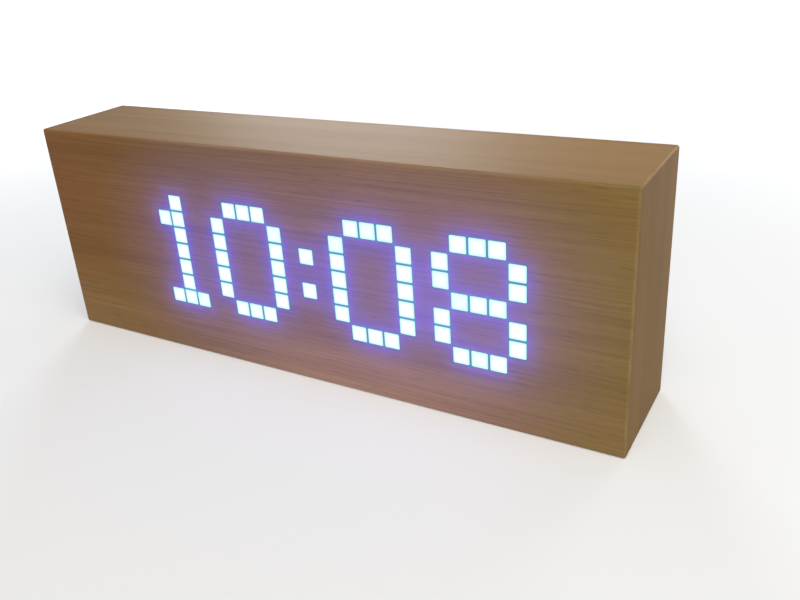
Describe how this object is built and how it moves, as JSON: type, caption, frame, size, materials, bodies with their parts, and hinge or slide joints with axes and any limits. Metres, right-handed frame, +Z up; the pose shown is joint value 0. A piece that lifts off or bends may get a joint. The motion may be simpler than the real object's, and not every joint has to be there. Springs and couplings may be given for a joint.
{
  "type": "led clock",
  "caption": "Rectangular wood-veneered desk clock block whose LED pixel matrix shines through the front veneer, with push buttons, slide switch, power jack and battery bay at the rear.",
  "frame": {"origin": "middle of the footprint, on the surface that the clock stands on", "axes": "X to the right as seen from the front, Y from the display towards the rear, Z up"},
  "size_m": [0.22, 0.04, 0.08],
  "materials": {
    "veneer": "satin lacquer over straight-grained veneer",
    "raw_mdf": "raw",
    "black_screw": "black oxide",
    "white_plastic": "matte",
    "milky_film": "milky",
    "led_resin": "clear resin",
    "circuit_board": "solder mask",
    "zinc_screw": "zinc plated",
    "chip_black": "matte",
    "cable_grey": "matte",
    "brass": "turned",
    "nickel": "nickel plated",
    "black_plastic": "fine texture",
    "plunger": "matte",
    "cell_wrap": "shrink wrap",
    "red_lead": "soft insulation",
    "black_lead": "soft insulation"
  },
  "bodies": {
    "case": {"top_board": "veneer", "bottom_board": "veneer", "left_end_board": "veneer", "right_end_board": "veneer", "front_veneer": "veneer", "rear_cover": "veneer", "front_board": "raw_mdf", "corner_blocks": "raw_mdf", "cover_screws": "black_screw", "tray_screws": "black_screw", "reflector_grid": "white_plastic", "display_connector": "white_plastic", "main_connector": "white_plastic", "diffuser_film": "milky_film", "pixel_leds": "led_resin", "display_board": "circuit_board", "main_board": "circuit_board", "display_board_screws": "zinc_screw", "main_board_screws": "zinc_screw", "driver_chips": "chip_black", "microcontroller": "chip_black", "ribbon_cable": "cable_grey", "board_standoffs": "brass", "clock_crystal": "nickel", "backup_cell": "nickel", "battery_contacts": "nickel", "dc_jack_pin": "nickel", "dc_jack_nut": "nickel", "backup_cell_holder": "black_plastic", "alarm_buzzer": "black_plastic", "button_housings": "black_plastic", "slide_switch_body": "black_plastic", "dc_jack_body": "black_plastic", "battery_tray": "black_plastic", "battery_cells": "cell_wrap", "battery_positive_lead": "red_lead", "battery_negative_lead": "black_lead", "dc_jack_leads": "black_lead"},
    "mode_button": {"mode_button_cap": "black_plastic", "mode_button_plunger": "plunger"},
    "set_button": {"set_button_cap": "black_plastic", "set_button_plunger": "plunger"},
    "up_button": {"up_button_cap": "black_plastic", "up_button_plunger": "plunger"},
    "down_button": {"down_button_cap": "black_plastic", "down_button_plunger": "plunger"},
    "slide_knob": {"slide_switch_knob": "black_plastic"},
    "battery_door": {"battery_door": "black_plastic"}
  },
  "joints": [
    {"name": "mode_button_press", "type": "slide", "parent": "case", "child": "mode_button", "axis": [0, -1, 0], "range_m": [0, 0.0004], "stiffness_N_per_m": 1500},
    {"name": "set_button_press", "type": "slide", "parent": "case", "child": "set_button", "axis": [0, -1, 0], "range_m": [0, 0.0004], "stiffness_N_per_m": 1500},
    {"name": "up_button_press", "type": "slide", "parent": "case", "child": "up_button", "axis": [0, -1, 0], "range_m": [0, 0.0004], "stiffness_N_per_m": 1500},
    {"name": "down_button_press", "type": "slide", "parent": "case", "child": "down_button", "axis": [0, -1, 0], "range_m": [0, 0.0004], "stiffness_N_per_m": 1500},
    {"name": "slide_switch", "type": "slide", "parent": "case", "child": "slide_knob", "axis": [-1, 0, 0], "range_m": [0, 0.003]},
    {"name": "battery_door_hinge", "type": "hinge", "parent": "case", "child": "battery_door", "pos_m": [0.08415, 0.0185, 0.04], "axis": [0, 0, -1], "range_deg": [0, 90]}
  ]
}
